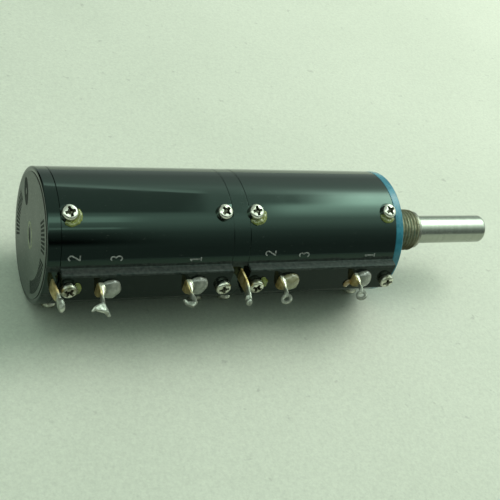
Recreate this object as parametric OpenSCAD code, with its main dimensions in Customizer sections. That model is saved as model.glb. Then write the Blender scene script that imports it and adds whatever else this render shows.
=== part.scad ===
// Two-gang ten-turn wire-wound potentiometer.
// The shaft lies along +X, the origin is the centre of the mounting face, and +Z is up.
// The flat terminal pad faces -Y. Angles of elevation start at -Y and rise towards +Z.

/* [Body] */
// Outside radius of the black housings
body_r = 12.5; // [12.3:0.1:12.8]
// Inside radius of the black housings
bore_r = 11; // [10.9:0.05:11.1]
// Length of one housing
housing_length = 32.5; // [31:0.2:34]
// Thickness of the front lid's rim
front_lid_rim = 1.8; // [1.2:0.1:2]
// Width of the ring between the two housings
ring_width = 3.4; // [3:0.1:4]
// Thickness of the rear lid's rim
rear_lid_rim = 2.4; // [2.2:0.1:2.8]
// Height of the terminal pad's face above the shaft's axis
pad_height = 13.9; // [13.6:0.1:14.2]
// Width of the terminal pad
pad_width = 6.4; // [5.8:0.2:7]
// Radius of the pad's long edges
pad_edge_r = 0.4; // [0.2:0.1:0.6]
// Radius of the label on the rear lid
label_r = 11.6; // [9:0.1:11.8]

/* [Spigots] */
// Outside radius of the spigots that fit into the housings
spigot_r = 10.97; // [10.9:0.01:10.97]
// Inside radius of the spigots
spigot_inner_r = 9.6; // [9.4:0.1:9.9]
// Length of the front lid's spigot
lid_spigot = 4.4; // [4:0.2:5]
// Length of the ring's spigot in the rear housing
ring_rear_spigot = 4.8; // [4.4:0.2:5.4]
// Length of the ring's spigot in the front housing
ring_front_spigot = 3.9; // [3.7:0.1:4.4]
// Length of the rear lid's spigot
rear_spigot = 3.2; // [3:0.1:3.6]

/* [Bushing and shaft] */
// Outside radius of the mounting bushing, over its thread
bushing_r = 4.5; // [4.5:0.25:5]
// Length of the mounting bushing in front of the mounting face
bushing_length = 10; // [8:0.5:12]
// Radius of the collar by which the bushing sits in the lid
collar_r = 5.2; // [5.1:0.1:6]
// Radius of the bushing's inner flange
flange_r = 6.5; // [6:0.25:7]
// Thickness of the bushing's inner flange
flange_t = 1.5; // [1.2:0.1:1.8]
// Radius of the shaft
shaft_r = 3; // [3:0.05:3.2]
// Length of the shaft in front of the mounting face
shaft_length = 29; // [20:0.2:40]
// Radius of the shaft inside the housings
inner_shaft_r = 2; // [1.8:0.1:2.2]
// Radial clearance of the shaft in its bearings
running_gap = 0.03; // [0.02:0.01:0.05]
// Outside radius of the retaining clip
clip_r = 4; // [3.8:0.1:4.2]
// Thickness of the retaining clip
clip_t = 0.6; // [0.5:0.05:0.7]

/* [Terminals] */
// Thickness of the terminal strip
lug_t = 0.45; // [0.4:0.05:0.5]
// Width of the terminal where it stands on the body
lug_width = 2.5; // [2.2:0.1:2.8]
// Distance of the eyelet's centre from the shaft's axis
eyelet_reach = 18.6; // [18:0.1:20]
// Outside radius of the eyelet
eyelet_r = 1.2; // [1:0.05:1.4]
// Radius of the eyelet's hole
eyelet_hole_r = 0.5; // [0.4:0.05:0.6]
// Twist of the eyelet about the terminal's length
eyelet_twist = -55; // [-60:5:60]
// Distance of terminal 1 from the housing's front end
terminal_1_inset = 9.15; // [8.5:0.05:10]
// Distance of terminal 3 from the housing's front end
terminal_3_inset = 25.8; // [25:0.05:26.5]
// Distance of terminal 2 behind the housing's rear end
terminal_2_offset = 1.1; // [0.8:0.1:1.2]
// Sideways offset of the front section's terminal 2
front_pick_up_shift = 0.9; // [0:0.1:1.2]
// Radius of the resin dome beside terminals 1 and 3
dome_r = 2.35; // [1.8:0.05:2.4]
// Height of the resin dome
dome_height = 1.7; // [1:0.1:1.8]

/* [Screws] */
// Radius of the screw head
head_r = 1.5; // [1.4:0.05:1.6]
// Height of the screw head
head_height = 1.3; // [1.1:0.1:1.5]
// Radius of the screw's shank
screw_r = 0.8; // [0.7:0.05:0.9]
// Width of the arms of the cross recess
recess_width = 0.5; // [0.35:0.05:0.6]
// Length across the cross recess
recess_length = 1.9; // [1.5:0.1:2]
// Distance of the front lid's screws from the front housing's front end
lid_screw_inset = 1.7; // [1.7:0.1:2.6]
// Distance of the coupling screws from the front housing's rear end
front_coupling_inset = 1.2; // [1.2:0.1:1.8]
// Distance of the coupling screws from the rear housing's front end
rear_coupling_inset = 1.8; // [1.7:0.1:3.4]
// Distance of the rear lid's screws from the rear housing's rear end
rear_screw_inset = 1.5; // [1.4:0.1:1.7]
// Distance of the front lid's pad screw in front of the others in its row
lid_pad_forward = 0.6; // [0:0.1:0.7]
// Distance of the front housing's rear pad screw in front of the others in its row
coupling_pad_forward = 0.8; // [0:0.1:1.2]
// Distance of the rear housing's front pad screw in front of the others in its row
rear_coupling_forward = 0.3; // [0:0.1:0.3]
// Sideways offset of three of the pad screws
pad_screw_shift = -0.5; // [-0.8:0.1:0.8]
// Sideways offset of the rearmost pad screw
rear_pad_screw_shift = 0.3; // [-0.8:0.1:0.8]

/* [Resistance coils] */
// Turns of each coil
coil_turns = 10; // [8:1:10]
// Radius of the wound core
core_r = 0.5; // [0.4:0.05:0.55]
// Gap between a coil and its housing
coil_gap = 0.1; // [0.08:0.01:0.15]

/* [Rotors] */
// Outside radius of a rotor drum
drum_r = 8; // [7.8:0.1:8.4]
// Width of the slot in which the carriage slides
slot_width = 3.8; // [3.4:0.1:4.2]
// Distance of the slot's floor from the axis
slot_floor = 4.4; // [4.2:0.1:4.6]
// Clearance of the carriage in its slot and over its rail
carriage_gap = 0.1; // [0.05:0.01:0.15]
// Length of the carriage
carriage_length = 3.4; // [3:0.1:4]
// Radius of the collector rail
rail_r = 0.5; // [0.4:0.05:0.55]

/* [Hidden] */
$fn = 96;
small_fn = 32;

// Stations along the shaft's axis
front_start = -front_lid_rim;
front_end = front_start - housing_length;
rear_start = front_end - ring_width;
rear_end = rear_start - housing_length;
back_face = rear_end - rear_lid_rim;

// Amounts by which a cutting shape passes a face, and a radial one passes a wall
cut = 0.2;
clear = 1;
// Elevations of the screw rows: the pad's own screw and the three round the body
pad_screw = 0;
ring_screws = [60, 180, 300];
// Depth of the flat under a screw head, and the radius of that flat
hole_play = 0.1;
seat_depth = 0.15;
seat_r = head_r + hole_play;
// Bevel of a head, the shank's inner end, and the clearance hole in the housings
head_bevel = 0.43;
shank_end = 9.75;
clearance_r = screw_r + hole_play;
// Thread-locking lacquer: its patches and the elevations of those on the round body
dab_t = 0.3;
dab_r = 0.8;
dab_elevation = 53;
front_dab_elevation = 50;
// Edge rounding of the lids and the chamfer of bushing and shaft
rim_chamfer = 0.3;
bushing_chamfer = 0.4;
shaft_chamfer = 0.5;

// Inner ends of the turned parts
thrust_t = 0.25;
thrust_r = 5;
end_float = 0.1;
shoulder = front_start - flange_t - end_float - thrust_t;
bearing_r = 3.2;
bearing_inset = 0.15;
rear_wall = 1;
rear_pocket = back_face + rear_wall;
shaft_back = rear_pocket + 2 * end_float;
boss_r = 3.8;
circlip_t = 0.4;
boss_height = 0.35;
circlip_x = rear_end + boss_height + end_float;
circlip_groove = 0.35;
groove_play = 0.05;
// Elevation of the gap in the open rings
ring_gap = 210;

// Coils: right-handed, both ends at the pad
coil_r = bore_r - coil_gap - core_r;
coil_length = terminal_3_inset - terminal_1_inset;
coil_pitch = coil_length / coil_turns;
rings_per_turn = 30;
core_sides = 8;

// Rotor: the hub behind the drum carries the slip ring
rotor_gap = 0.35;
keyed_gap = 0.02;
hub_r = 5;
hub_length = 1.7;
slip_r = 6;
slip_t = 1.3;
slot_margin = 3;
rail_height = slot_floor + rail_r;
front_rotor_front = shoulder - rotor_gap / 2;
front_rotor_back = front_end + rotor_gap;
rear_rotor_front = rear_start - rotor_gap;
rear_rotor_back = circlip_x + circlip_t;
front_slip_x = front_rotor_back + hub_length - slip_t / 2;
rear_slip_x = rear_rotor_back + hub_length - slip_t / 2;

// Carriage: block, fork fingers and sprung contact
carriage_floor = rail_height + rail_r + carriage_gap;
carriage_top = 9.1;
finger_t = 0.4;
finger_width = 1;
finger_hook = 0.2;
finger_top = coil_r + finger_hook;
contact_t = 0.3;
contact_width = 1.2;
contact_slot = 0.9;

// Pick-up brush and its pocket
brush_t = 0.2;
brush_width = 1.6;
brush_gap = 0.08;
brush_root = 9;
pocket_depth = 1.2;
pocket_floor = slip_r - 0.3;
pocket_r = 9.4;
pocket_width = 3.4;
slot_play = 0.05;

// Terminal outline
lug_shoulder = 15.3;
neck_start = 16.4;
neck_width = 1;
pad_lug_root = bore_r + 0.05;
ring_lug_root = 6.9;
solder_r = 1.05;

// Colours
housing_colour = "#15191a";
ring_colour = "#171b1c";
lid_colour = "#4aa9cf";
label_colour = "#4d5a55";
bushing_colour = "#8f8f80";
bearing_colour = "#b08d4a";
coil_colour = "#a8743a";
terminal_colour = "#b39a5c";
solder_colour = "#b9beb0";
resin_colour = "#7c8268";
brush_colour = "#c2a45a";
screw_colour = "#b9bba9";
lacquer_colour = "#9aa83a";
shaft_colour = "#c3c7c4";
clip_colour = "#b5b7ad";
circlip_colour = "#8c8f8c";
rotor_colour = "#d8cfae";
slip_colour = "#d1b45e";
carriage_colour = "#e2ddc6";
contact_colour = "#caa94e";

// A point on the pad's side of the body: x along the shaft, turned up by an elevation
module at(x, elevation = 0, shift = 0) {
    rotate([90 - elevation, 0, 0])
        translate([x, shift, 0])
            children();
}

// A cylinder along the shaft's axis from x0 towards +X
module rod(x0, length, r) {
    translate([x0, 0, 0])
        rotate([0, 90, 0])
            cylinder(r = r, h = length);
}

// A cone along the shaft's axis from x0 towards +X
module taper(x0, length, r0, r1) {
    translate([x0, 0, 0])
        rotate([0, 90, 0])
            cylinder(r1 = r0, r2 = r1, h = length);
}

module tube(x0, length, r_out, r_in) {
    difference() {
        rod(x0, length, r_out);
        rod(x0 - cut, length + 2 * cut, r_in);
    }
}

// A box centred on x, with its lower face at height z0 above the axis
module block(x, length, width, z0, z1, elevation = 0, shift = 0) {
    at(x, elevation, shift)
        translate([-length / 2, -width / 2, z0])
            cube([length, width, z1 - z0]);
}

// Housings: a tube with a flat pad along its whole length

module pad(x0) {
    half = pad_width / 2 - pad_edge_r;
    block(x0 + housing_length / 2, housing_length, pad_width, bore_r, pad_height - pad_edge_r);
    block(x0 + housing_length / 2, housing_length, 2 * half, bore_r, pad_height);
    for (side = [-half, half])
        at(x0, 0, side)
            translate([0, 0, pad_height - pad_edge_r])
                rotate([0, 90, 0])
                    cylinder(r = pad_edge_r, h = housing_length, $fn = small_fn);
}

// Radial holes of one row of screws, with a flat seat under each head on the round body
module screw_holes(x, forward, r, shift = pad_screw_shift) {
    at(x + forward, pad_screw, shift)
        translate([0, 0, spigot_inner_r - clear])
            cylinder(r = r, h = body_r, $fn = small_fn);
    for (e = ring_screws)
        at(x, e)
            translate([0, 0, spigot_inner_r - clear])
                cylinder(r = r, h = body_r, $fn = small_fn);
}

module screw_seats(x) {
    for (e = ring_screws)
        at(x, e)
            translate([0, 0, body_r - seat_depth])
                cylinder(r = seat_r, h = clear, $fn = small_fn);
}

module terminal_slot(x, z0, z1, shift = 0) {
    block(x, lug_t + slot_play, lug_width + slot_play, z0, z1, 0, shift);
}

module housing(x0, front_inset, front_forward, rear_inset, rear_forward, rear_shift) {
    x1 = x0 + housing_length;
    difference() {
        union() {
            rod(x0, housing_length, body_r);
            pad(x0);
        }
        rod(x0 - cut, housing_length + 2 * cut, bore_r);
        screw_holes(x1 - front_inset, front_forward, clearance_r);
        screw_holes(x0 + rear_inset, rear_forward, clearance_r, rear_shift);
        screw_seats(x1 - front_inset);
        screw_seats(x0 + rear_inset);
        terminal_slot(x1 - terminal_1_inset, bore_r - clear, pad_height + clear);
        terminal_slot(x1 - terminal_3_inset, bore_r - clear, pad_height + clear);
    }
}

module front_housing() {
    color(housing_colour)
        housing(front_end, lid_screw_inset, lid_pad_forward,
                front_coupling_inset, coupling_pad_forward, pad_screw_shift);
}

module rear_housing() {
    color(housing_colour)
        housing(rear_end, rear_coupling_inset, rear_coupling_forward,
                rear_screw_inset, 0, rear_pad_screw_shift);
}

// Lids and ring: each reaches into a housing with a spigot, and the screws enter the spigot

module front_lid() {
    spigot_back = front_start - lid_spigot;
    screw_x = front_start - lid_screw_inset;
    color(lid_colour)
        difference() {
            union() {
                rod(front_start, front_lid_rim - rim_chamfer, body_r);
                taper(-rim_chamfer, rim_chamfer, body_r, body_r - rim_chamfer);
                tube(spigot_back, lid_spigot, spigot_r, spigot_inner_r);
            }
            rod(front_start - cut, front_lid_rim + 2 * cut, collar_r);
            screw_holes(screw_x, lid_pad_forward, screw_r);
        }
}

// The pocket in which a pick-up brush lies between its terminal and the slip ring
module brush_pocket(x, shift = 0) {
    block(x + lug_t / 2 + pocket_depth / 2, pocket_depth + lug_t, pocket_width,
          pocket_floor, pocket_r, 0, shift);
}

module middle_ring() {
    front_x = front_end + front_coupling_inset;
    rear_x = rear_start - rear_coupling_inset;
    terminal_x = front_end - terminal_2_offset;
    color(ring_colour)
        difference() {
            union() {
                rod(rear_start, ring_width, body_r);
                tube(front_end, ring_front_spigot, spigot_r, spigot_inner_r);
                tube(rear_start - ring_rear_spigot, ring_rear_spigot, spigot_r, spigot_inner_r);
            }
            rod(rear_start - cut, ring_width + 2 * cut, bearing_r);
            terminal_slot(terminal_x, ring_lug_root - cut, body_r + clear, front_pick_up_shift);
            brush_pocket(terminal_x, front_pick_up_shift);
            screw_holes(front_x, coupling_pad_forward, screw_r);
            screw_holes(rear_x, rear_coupling_forward, screw_r);
            screw_seats(front_x);
        }
}

module rear_lid() {
    screw_x = rear_end + rear_screw_inset;
    terminal_x = rear_end - terminal_2_offset;
    color(ring_colour)
        difference() {
            union() {
                taper(back_face, rim_chamfer, body_r - rim_chamfer, body_r);
                rod(back_face + rim_chamfer, rear_lid_rim - rim_chamfer, body_r);
                tube(rear_end, rear_spigot, spigot_r, spigot_inner_r);
                rod(rear_end, boss_height, boss_r);
            }
            rod(rear_pocket, rear_lid_rim, bearing_r);
            terminal_slot(terminal_x, ring_lug_root - cut, body_r + clear);
            brush_pocket(terminal_x);
            screw_holes(screw_x, 0, screw_r, rear_pad_screw_shift);
            screw_seats(screw_x);
        }
}

module rear_label() {
    label_t = 0.1;
    color(label_colour)
        rod(back_face - label_t, label_t, label_r);
}

// Bushing and bearings

module mounting_bushing() {
    color(bushing_colour)
        difference() {
            union() {
                rod(front_start, front_lid_rim, collar_r);
                rod(0, bushing_length - bushing_chamfer, bushing_r);
                taper(bushing_length - bushing_chamfer, bushing_chamfer,
                      bushing_r, bushing_r - bushing_chamfer);
                rod(front_start - flange_t, flange_t, flange_r);
            }
            rod(front_start - flange_t - cut, flange_t + front_lid_rim + bushing_length + 2 * cut,
                shaft_r + running_gap);
        }
}

module middle_bearing() {
    color(bearing_colour)
        tube(rear_start + bearing_inset, ring_width - 2 * bearing_inset,
             bearing_r, inner_shaft_r + running_gap);
}

module rear_bearing() {
    color(bearing_colour)
        tube(rear_pocket, rear_end + boss_height - rear_pocket - bearing_inset,
             bearing_r, inner_shaft_r + running_gap);
}

// Coils: a round core swept along ten turns

function coil_point(x0, turn, side) =
    let (
        a = 360 * turn,
        s = 360 * side / core_sides,
        r = coil_r + core_r * cos(s)
    )
    [x0 + coil_pitch * turn + core_r * sin(s), -r * cos(a), -r * sin(a)];

module coil(x0) {
    rings = coil_turns * rings_per_turn;
    points = [
        for (i = [0:rings], j = [0:core_sides - 1])
            coil_point(x0, i / rings_per_turn, j)
    ];
    walls = [
        for (i = [0:rings - 1], j = [0:core_sides - 1])
            let (a = i * core_sides + j, b = i * core_sides + (j + 1) % core_sides)
            [a, b, b + core_sides, a + core_sides]
    ];
    first = [for (j = [core_sides - 1:-1:0]) j];
    last = [for (j = [0:core_sides - 1]) rings * core_sides + j];
    polyhedron(points = points, faces = concat([first], walls, [last]), convexity = 10);
}

module front_resistance_coil() {
    color(coil_colour)
        coil(front_start - terminal_3_inset);
}

module rear_resistance_coil() {
    color(coil_colour)
        coil(rear_start - terminal_3_inset);
}

// Terminals: a flat strip standing out of the body, with a neck and a twisted eyelet

module terminal(x, root, shift = 0, twist = 0) {
    half = lug_width / 2;
    neck = neck_width / 2;
    at(x, 0, shift)
        difference() {
            union() {
                rotate([90, 0, 90])
                    translate([0, 0, -lug_t / 2])
                        linear_extrude(lug_t)
                            polygon([[-half, root], [half, root], [half, lug_shoulder],
                                     [neck, neck_start], [-neck, neck_start],
                                     [-half, lug_shoulder]]);
                translate([0, 0, neck_start - cut])
                    rotate([0, 0, twist / 2])
                        translate([-lug_t / 2, -neck, 0])
                            cube([lug_t, neck_width, eyelet_reach - eyelet_r - neck_start + 2 * cut]);
                translate([0, 0, eyelet_reach])
                    rotate([0, 90, twist])
                        cylinder(r = eyelet_r, h = lug_t, center = true, $fn = small_fn);
            }
            translate([0, 0, eyelet_reach])
                rotate([0, 90, twist])
                    cylinder(r = eyelet_hole_r, h = 2 * lug_width, center = true, $fn = small_fn);
        }
}

module front_terminal_1() {
    color(terminal_colour)
        terminal(front_start - terminal_1_inset, pad_lug_root, 0, eyelet_twist);
}

module front_terminal_2() {
    color(terminal_colour)
        terminal(front_end - terminal_2_offset, ring_lug_root, front_pick_up_shift);
}

module front_terminal_3() {
    color(terminal_colour)
        terminal(front_start - terminal_3_inset, pad_lug_root, 0, eyelet_twist);
}

module rear_terminal_1() {
    color(terminal_colour)
        terminal(rear_start - terminal_1_inset, pad_lug_root, 0, eyelet_twist);
}

module rear_terminal_2() {
    color(terminal_colour)
        terminal(rear_end - terminal_2_offset, ring_lug_root);
}

module rear_terminal_3() {
    color(terminal_colour)
        terminal(rear_start - terminal_3_inset, pad_lug_root, 0, eyelet_twist);
}

// Solder left on four of the terminals
module terminal_solder() {
    color(solder_colour)
        difference() {
            union() {
                solder(rear_end - terminal_2_offset, 0);
                solder(rear_start - terminal_3_inset, 0);
                solder(rear_start - terminal_1_inset, 0);
                solder(front_end - terminal_2_offset, front_pick_up_shift);
            }
            terminal(rear_end - terminal_2_offset, ring_lug_root);
            terminal(rear_start - terminal_3_inset, pad_lug_root, 0, eyelet_twist);
            terminal(rear_start - terminal_1_inset, pad_lug_root, 0, eyelet_twist);
            terminal(front_end - terminal_2_offset, ring_lug_root, front_pick_up_shift);
        }
}

module solder(x, shift) {
    at(x, 0, shift)
        translate([0, 0, eyelet_reach])
            sphere(r = solder_r, $fn = small_fn);
}

// Resin domes over the tappings beside terminals 1 and 3
module resin_dome(x) {
    dome_sphere = (dome_r * dome_r + dome_height * dome_height) / (2 * dome_height);
    at(x + lug_t / 2 + dome_r + slot_play)
        intersection() {
            translate([0, 0, pad_height + dome_height - dome_sphere])
                sphere(r = dome_sphere);
            translate([0, 0, pad_height])
                cylinder(r = dome_r + clear, h = dome_height + clear);
        }
}

module front_terminal_resin() {
    color(resin_colour) {
        resin_dome(front_start - terminal_1_inset);
        resin_dome(front_start - terminal_3_inset);
    }
}

module rear_terminal_resin() {
    color(resin_colour) {
        resin_dome(rear_start - terminal_1_inset);
        resin_dome(rear_start - terminal_3_inset);
    }
}

// Pick-up brushes: a sprung strip from terminal 2 to the rim of the slip ring
module brush(x, slip_x, shift = 0) {
    x0 = x + lug_t / 2;
    tip = slip_x + slip_t / 2 - brush_t;
    block(x0 + brush_t / 2, brush_t, brush_width, slip_r + brush_gap, brush_root, 0, shift);
    block((x0 + tip) / 2, tip - x0, brush_width, slip_r + brush_gap,
          slip_r + brush_gap + brush_t, 0, shift);
}

module front_pick_up_brush() {
    color(brush_colour)
        brush(front_end - terminal_2_offset, front_slip_x, front_pick_up_shift);
}

module rear_pick_up_brush() {
    color(brush_colour)
        brush(rear_end - terminal_2_offset, rear_slip_x);
}

// Screws: pan heads with a cross recess

module screw(x, elevation, seat, shift = 0) {
    top = seat + head_height;
    at(x, elevation, shift)
        difference() {
            rotate_extrude($fn = small_fn)
                polygon([[0, shank_end], [screw_r, shank_end], [screw_r, seat], [head_r, seat],
                         [head_r, top - head_bevel], [head_r - head_bevel, top], [0, top]]);
            for (turn = [0, 90])
                rotate([0, 0, turn])
                    translate([-recess_length / 2, -recess_width / 2, seat + head_height / 2])
                        cube([recess_length, recess_width, head_height]);
        }
}

module screw_row(x, forward, shift = pad_screw_shift) {
    screw(x + forward, pad_screw, pad_height, shift);
    for (e = ring_screws)
        screw(x, e, body_r - seat_depth);
}

module front_lid_screws() {
    color(screw_colour)
        screw_row(front_start - lid_screw_inset, lid_pad_forward);
}

module front_coupling_screws() {
    color(screw_colour)
        screw_row(front_end + front_coupling_inset, coupling_pad_forward);
}

module rear_coupling_screws() {
    color(screw_colour)
        screw_row(rear_start - rear_coupling_inset, rear_coupling_forward);
}

module rear_lid_screws() {
    color(screw_colour)
        screw_row(rear_end + rear_screw_inset, 0, rear_pad_screw_shift);
}

// Thread-locking lacquer beside five of the screw heads
module lacquer_dab(x, elevation, seat, shift = 0) {
    at(x + head_r + dab_r, elevation, shift)
        translate([0, 0, seat])
            cylinder(r = dab_r, h = dab_t, $fn = small_fn);
}

module screw_lacquer() {
    seat = body_r - seat_depth / 2;
    color(lacquer_colour)
        difference() {
            union() {
                lacquer_dab(rear_end + rear_screw_inset, dab_elevation, seat);
                lacquer_dab(front_end + front_coupling_inset, dab_elevation, seat);
                lacquer_dab(front_start - lid_screw_inset - head_r, front_dab_elevation, seat);
                lacquer_dab(rear_end + rear_screw_inset, pad_screw, pad_height,
                            rear_pad_screw_shift);
                lacquer_dab(front_end + front_coupling_inset + coupling_pad_forward, pad_screw,
                            pad_height, pad_screw_shift);
            }
            front_housing();
            rear_housing();
            front_lid_screws();
            front_coupling_screws();
            rear_lid_screws();
        }
}

// Shaft and the rings on it

module shaft() {
    groove_x = bushing_length + end_float / 2;
    color(shaft_colour)
        difference() {
            union() {
                rod(shoulder, shaft_length - shaft_chamfer - shoulder, shaft_r);
                taper(shaft_length - shaft_chamfer, shaft_chamfer, shaft_r, shaft_r - shaft_chamfer);
                rod(shaft_back, shoulder - shaft_back, inner_shaft_r);
            }
            tube(groove_x + groove_play, clip_t, shaft_r + clear, shaft_r - circlip_groove);
            tube(circlip_x, circlip_t, shaft_r + clear, inner_shaft_r - circlip_groove);
        }
}

// An open ring that snaps into a groove of the shaft
module open_ring(x0, t, r_out, r_in) {
    difference() {
        tube(x0, t, r_out, r_in);
        block(x0 + t / 2, t + 2 * cut, r_in, 0, r_out + clear, ring_gap);
    }
}

module shaft_retaining_clip() {
    color(clip_colour)
        open_ring(bushing_length + end_float / 2 + groove_play, clip_t, clip_r,
                  shaft_r - circlip_groove);
}

module thrust_washer() {
    color(bearing_colour)
        tube(shoulder, thrust_t, thrust_r, shaft_r);
}

module rear_shaft_circlip() {
    color(circlip_colour)
        open_ring(circlip_x, circlip_t, boss_r, inner_shaft_r - circlip_groove);
}

// Rotors: a drum keyed to the shaft, with a slot for the carriage and a hub for the slip ring

module rotor(x_front, x_back, slot_front) {
    drum_back = x_back + hub_length;
    difference() {
        union() {
            rod(drum_back, x_front - drum_back, drum_r);
            rod(x_back, hub_length, hub_r);
        }
        rod(x_back - cut, x_front - x_back + 2 * cut, inner_shaft_r + keyed_gap);
        block((slot_front + drum_back) / 2, slot_front - drum_back, slot_width,
              slot_floor, drum_r + clear);
    }
}

module front_rotor() {
    color(rotor_colour)
        rotor(front_rotor_front, front_rotor_back, front_start - terminal_1_inset + slot_margin);
}

module rear_rotor() {
    color(rotor_colour)
        rotor(rear_rotor_front, rear_rotor_back, rear_start - terminal_1_inset + slot_margin);
}

module front_slip_ring() {
    color(slip_colour)
        tube(front_slip_x - slip_t / 2, slip_t, slip_r, hub_r);
}

module rear_slip_ring() {
    color(slip_colour)
        tube(rear_slip_x - slip_t / 2, slip_t, slip_r, hub_r);
}

// Collector rails: a rod on the floor of the slot, running back to the slip ring
module rail(x_slip, slot_front) {
    x0 = x_slip + slip_t / 2;
    at(x0)
        translate([0, 0, rail_height])
            rotate([0, 90, 0])
                cylinder(r = rail_r, h = slot_front - x0 - cut, $fn = small_fn);
}

module front_collector_rail() {
    color(slip_colour)
        rail(front_slip_x, front_start - terminal_1_inset + slot_margin);
}

module rear_collector_rail() {
    color(slip_colour)
        rail(rear_slip_x, rear_start - terminal_1_inset + slot_margin);
}

// Carriages: at mid travel, with a fork over one turn of the coil

module carriage(x) {
    difference() {
        block(x, carriage_length, slot_width - 2 * carriage_gap, carriage_floor, carriage_top);
        block(x, contact_slot, slot_width + clear, carriage_top - contact_slot, carriage_top + clear);
        block(x, contact_slot, contact_width, carriage_floor - clear, carriage_top + clear);
    }
    for (side = [-1, 1])
        block(x + side * coil_pitch / 2, finger_t, finger_width, carriage_top - cut, finger_top);
}

module wiper_contact(x) {
    block(x, contact_t, contact_width - 2 * carriage_gap,
          rail_height + rail_r + brush_gap, coil_r - core_r - brush_gap);
}

module front_wiper_carriage() {
    color(carriage_colour)
        carriage(front_start - terminal_3_inset + coil_length / 2);
}

module front_wiper_contact() {
    color(contact_colour)
        wiper_contact(front_start - terminal_3_inset + coil_length / 2);
}

module rear_wiper_carriage() {
    color(carriage_colour)
        carriage(rear_start - terminal_3_inset + coil_length / 2);
}

module rear_wiper_contact() {
    color(contact_colour)
        wiper_contact(rear_start - terminal_3_inset + coil_length / 2);
}

front_lid();
mounting_bushing();
front_housing();
middle_ring();
rear_housing();
rear_lid();
rear_label();
middle_bearing();
rear_bearing();
front_resistance_coil();
rear_resistance_coil();
front_terminal_1();
front_terminal_2();
front_terminal_3();
rear_terminal_1();
rear_terminal_2();
rear_terminal_3();
front_pick_up_brush();
rear_pick_up_brush();
front_terminal_resin();
rear_terminal_resin();
terminal_solder();
front_lid_screws();
front_coupling_screws();
rear_coupling_screws();
rear_lid_screws();
screw_lacquer();
shaft();
shaft_retaining_clip();
thrust_washer();
rear_shaft_circlip();
front_rotor();
rear_rotor();
front_slip_ring();
rear_slip_ring();
front_collector_rail();
rear_collector_rail();
front_wiper_carriage();
front_wiper_contact();
rear_wiper_carriage();
rear_wiper_contact();
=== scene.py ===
"""Looks for the two-gang multi-turn potentiometer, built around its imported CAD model.

Lengths below are in millimetres and are scaled to metres when a mesh is made.
The shaft lies along +X. Elevations start at -Y, where the flat pad faces, and rise towards +Z.
"""
from math import atan2, cos, degrees, hypot, pi, radians, sin, sqrt

import bmesh
import bpy
from mathutils import Matrix, Vector, noise

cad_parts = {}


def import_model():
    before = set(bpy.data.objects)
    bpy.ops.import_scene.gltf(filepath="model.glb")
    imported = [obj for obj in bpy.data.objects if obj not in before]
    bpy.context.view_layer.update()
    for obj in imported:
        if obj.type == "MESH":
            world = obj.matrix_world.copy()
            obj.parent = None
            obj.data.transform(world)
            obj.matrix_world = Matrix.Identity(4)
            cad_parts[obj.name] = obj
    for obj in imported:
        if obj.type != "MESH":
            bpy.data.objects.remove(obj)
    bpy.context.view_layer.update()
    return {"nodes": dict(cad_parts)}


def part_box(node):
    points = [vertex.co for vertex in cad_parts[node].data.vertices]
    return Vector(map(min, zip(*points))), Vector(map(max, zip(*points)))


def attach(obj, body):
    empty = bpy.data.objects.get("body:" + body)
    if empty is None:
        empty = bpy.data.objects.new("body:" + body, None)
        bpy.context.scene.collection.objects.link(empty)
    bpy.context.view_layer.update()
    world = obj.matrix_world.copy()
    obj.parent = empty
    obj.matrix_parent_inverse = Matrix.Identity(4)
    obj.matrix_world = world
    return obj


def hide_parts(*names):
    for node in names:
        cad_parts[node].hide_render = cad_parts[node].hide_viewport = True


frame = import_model()

MM = 0.001
TAU = 2 * pi


def ends(node, axis=0):
    """Where a CAD node starts and ends along an axis, in millimetres."""
    return [point[axis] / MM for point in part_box(node)]


FRONT_END, FRONT_START = ends("front_housing")
REAR_END, REAR_START = ends("rear_housing")
BUSHING_BACK, BUSHING_END = ends("mounting_bushing")
SHAFT_BACK, SHAFT_END = ends("shaft")
BACK = ends("rear_lid")[0]
LABEL_BACK = ends("rear_label")[0]
BODY_R = ends("front_housing", 2)[1]
PAD_HEIGHT = -ends("front_housing", 1)[0]

BORE_R = 11.0
SPIGOT_R, SPIGOT_INNER_R = 10.95, 9.6
LID_SPIGOT, RING_FRONT_SPIGOT, RING_REAR_SPIGOT, REAR_SPIGOT = 4.4, 3.9, 4.8, 3.2
PAD_WIDTH = 6.4
COLLAR_R, FLANGE_R, BUSHING_BORE_R, BEARING_R = 5.2, 6.5, 3.03, 3.2
SHAFT_R, INNER_SHAFT_R = 3.0, 1.985

# The four rows of screws, and where the pad's own screw stands in each: forward, and sideways
LID_ROW, FRONT_ROW = FRONT_START - 1.7, FRONT_END + 1.2
REAR_ROW, END_ROW = REAR_START - 1.8, REAR_END + 1.5
LID_PAD, FRONT_PAD, REAR_PAD, END_PAD = (0.6, -0.5), (0.8, -0.5), (0.3, -0.5), (0, 0.3)
RING_SCREWS = (60, 180, 300)
HEAD_R, HEAD_HEIGHT = 1.5, 1.3
SEAT_DEPTH = 0.15
SEAT_R = BODY_R - SEAT_DEPTH

# Terminals 1 and 3 stand behind a housing's front end, and terminal 2 behind its rear end
FRONT_1, FRONT_3, FRONT_2 = FRONT_START - 9.15, FRONT_START - 25.8, FRONT_END - 1.1
REAR_1, REAR_3, REAR_2 = REAR_START - 9.15, REAR_START - 25.8, REAR_END - 1.1
LUG_T, LUG_EDGE, LUG_WIDTH, NECK_WIDTH, PICK_UP_WIDTH = 0.45, 0.09, 2.5, 0.8, 1.5
PAD_ROOT, RING_ROOT = 11.05, 6.9
EYELET_REACH, EYELET_R, EYELET_RIM, EYELET_TWIST = 18.6, 0.8, 0.6, -55
PICK_UP_SHIFT = 0.9


# ---- mesh helpers

def ease(a, b, t):
    """0 at a, 1 at b, smooth between; b may be the smaller."""
    s = min(1.0, max(0.0, (t - a) / (b - a)))
    return s * s * (3 - 2 * s)


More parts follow.
